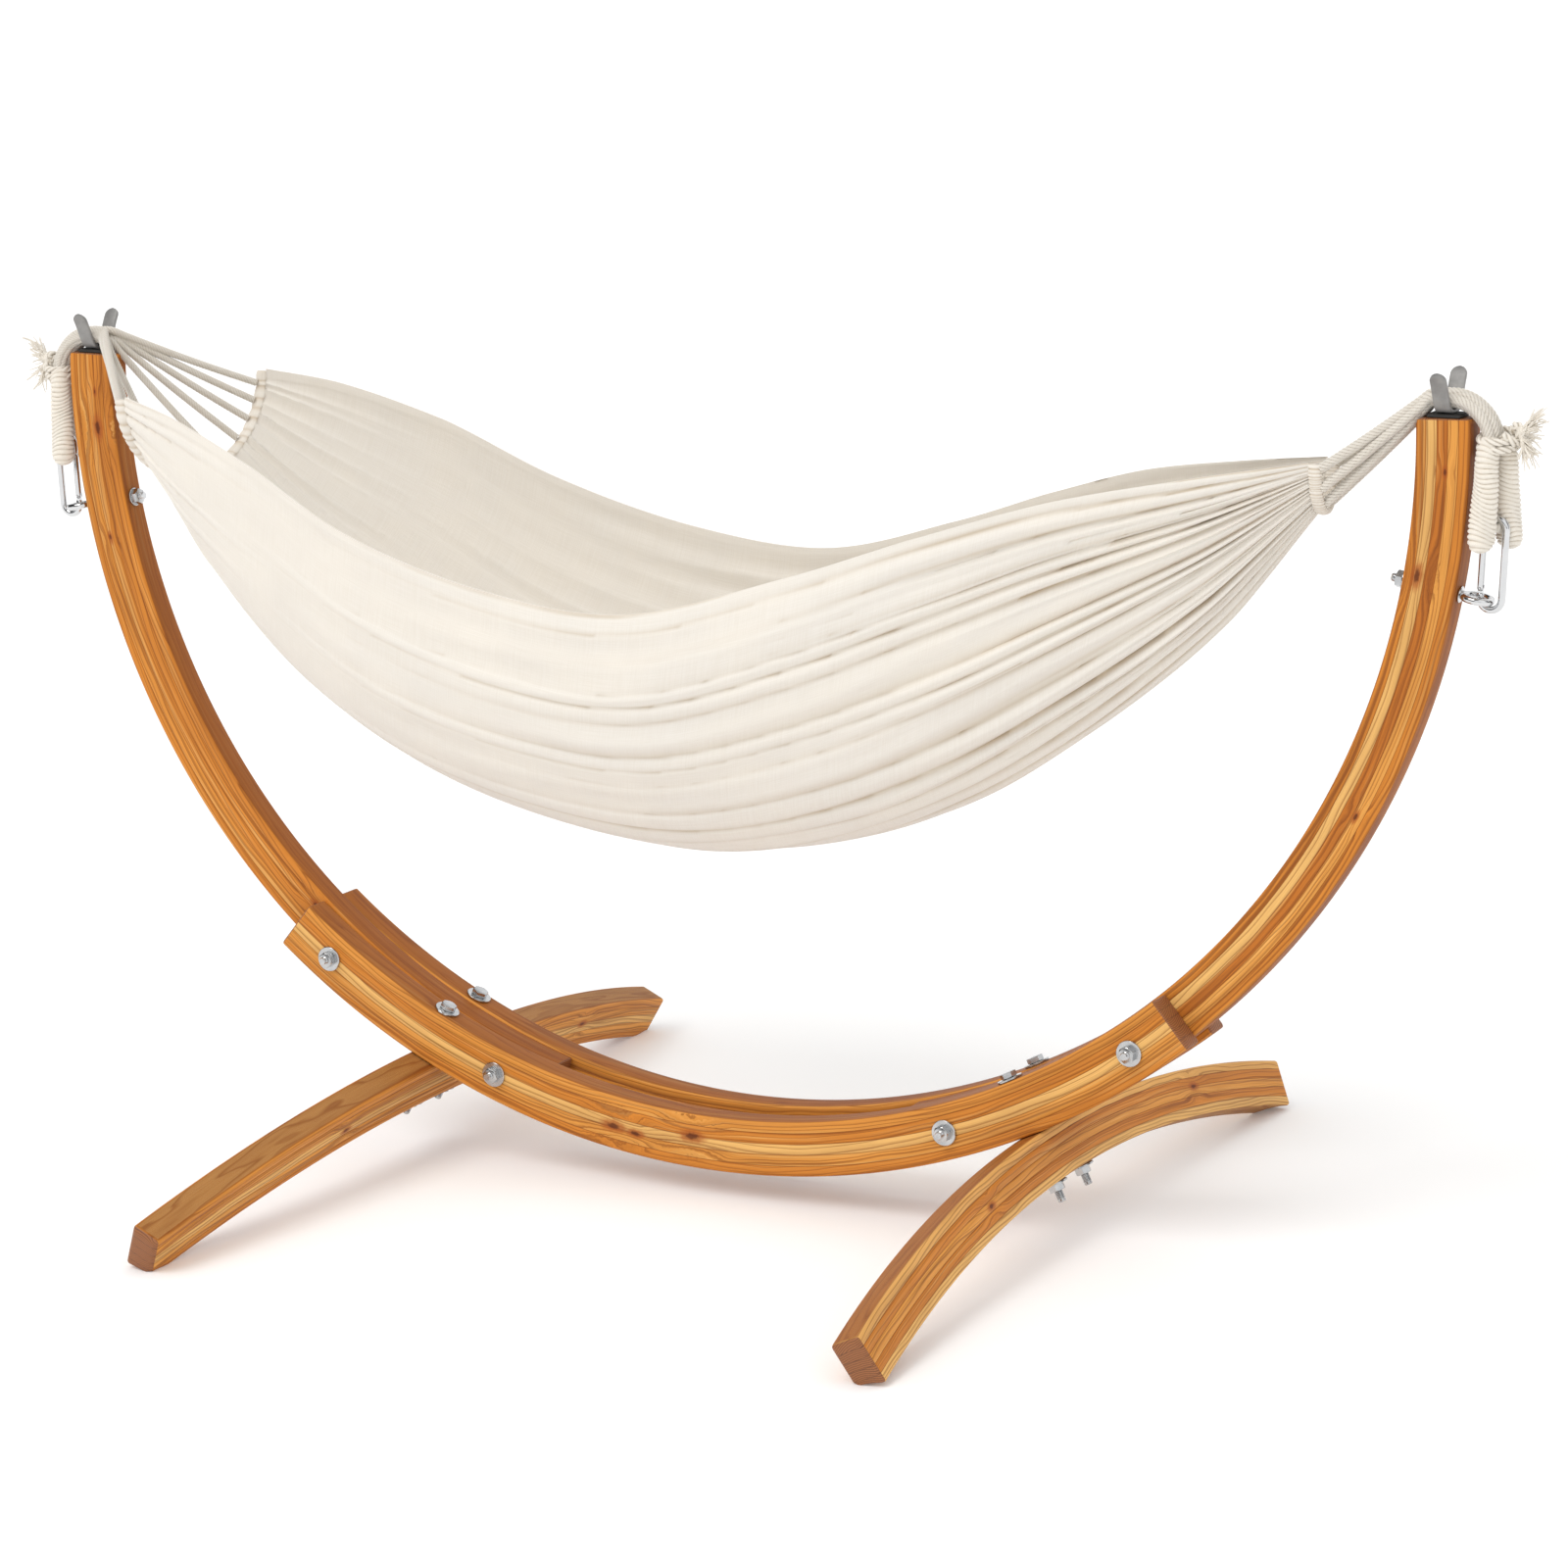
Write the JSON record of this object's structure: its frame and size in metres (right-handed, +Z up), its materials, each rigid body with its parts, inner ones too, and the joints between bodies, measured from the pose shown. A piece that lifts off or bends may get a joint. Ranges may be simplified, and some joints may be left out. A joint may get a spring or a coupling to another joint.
{
  "type": "hammock on stand",
  "caption": "Child-size cotton hammock slung between the fork-topped arms of a laminated wood arc stand on two arched cross feet, with rope loops, snap hooks and eye bolts.",
  "frame": {"origin": "on the ground, midway between the arms and midway between the front and rear ends of the feet", "axes": "+X along the hammock towards the gathered foot end, +Y across it towards the rear, +Z up"},
  "size_m": [1.9424, 1.16, 0.9986],
  "materials": {
    "larch": "clear satin coat on laminated larch",
    "zinc": "bright zinc plate",
    "grey_steel": "satin grey",
    "pad": "matt black",
    "cotton_rope": "undyed twisted cotton",
    "cotton_cloth": "undyed woven cotton"
  },
  "bodies": {
    "stand": {"arm_right": "larch", "arm_left": "larch", "rail_front": "larch", "rail_rear": "larch", "foot_right": "larch", "foot_left": "larch", "rail_bolt_outer_right": "zinc", "rail_bolt_outer_left": "zinc", "rail_bolt_inner_right": "zinc", "rail_bolt_inner_left": "zinc", "rail_nut_outer_right": "zinc", "rail_nut_outer_left": "zinc", "rail_nut_inner_right": "zinc", "rail_nut_inner_left": "zinc", "foot_bolt_front_right": "zinc", "foot_bolt_front_left": "zinc", "foot_bolt_rear_right": "zinc", "foot_bolt_rear_left": "zinc", "foot_nut_front_right": "zinc", "foot_nut_front_left": "zinc", "foot_nut_rear_right": "zinc", "foot_nut_rear_left": "zinc", "hook_screw_right": "zinc", "hook_screw_left": "zinc", "eye_bolt_right": "zinc", "eye_bolt_left": "zinc", "eye_nut_right": "zinc", "eye_nut_left": "zinc", "snap_hook_right": "zinc", "snap_hook_left": "zinc", "fork_hook_right": "grey_steel", "fork_hook_left": "grey_steel", "hook_pad_right": "pad", "hook_pad_left": "pad", "rope_loop_right": "cotton_rope", "rope_loop_left": "cotton_rope", "rope_tuft_right": "cotton_rope", "rope_tuft_left": "cotton_rope"},
    "hammock": {"cloth": "cotton_cloth", "hem_left": "cotton_cloth", "hem_right": "cotton_cloth", "cords_left": "cotton_rope", "cords_right": "cotton_rope"},
    "gate_right": {"snap_gate_right": "zinc"},
    "gate_left": {"snap_gate_left": "zinc"}
  },
  "joints": [
    {"name": "hammock_swing", "type": "hinge", "parent": "stand", "child": "hammock", "pos_m": [0, 0, 0.97281], "axis": [1, 0, 0], "range_deg": [-35, 35]},
    {"name": "snap_gate_right_open", "type": "hinge", "parent": "stand", "child": "gate_right", "pos_m": [0.90423, 0, 0.76915], "axis": [0, 1, 0], "range_deg": [0, 16], "stiffness_Nm_per_rad": 0.05, "springref_deg": -11.46},
    {"name": "snap_gate_left_open", "type": "hinge", "parent": "stand", "child": "gate_left", "pos_m": [-0.90423, 0, 0.76915], "axis": [0, -1, 0], "range_deg": [0, 16], "stiffness_Nm_per_rad": 0.05, "springref_deg": -11.46}
  ]
}
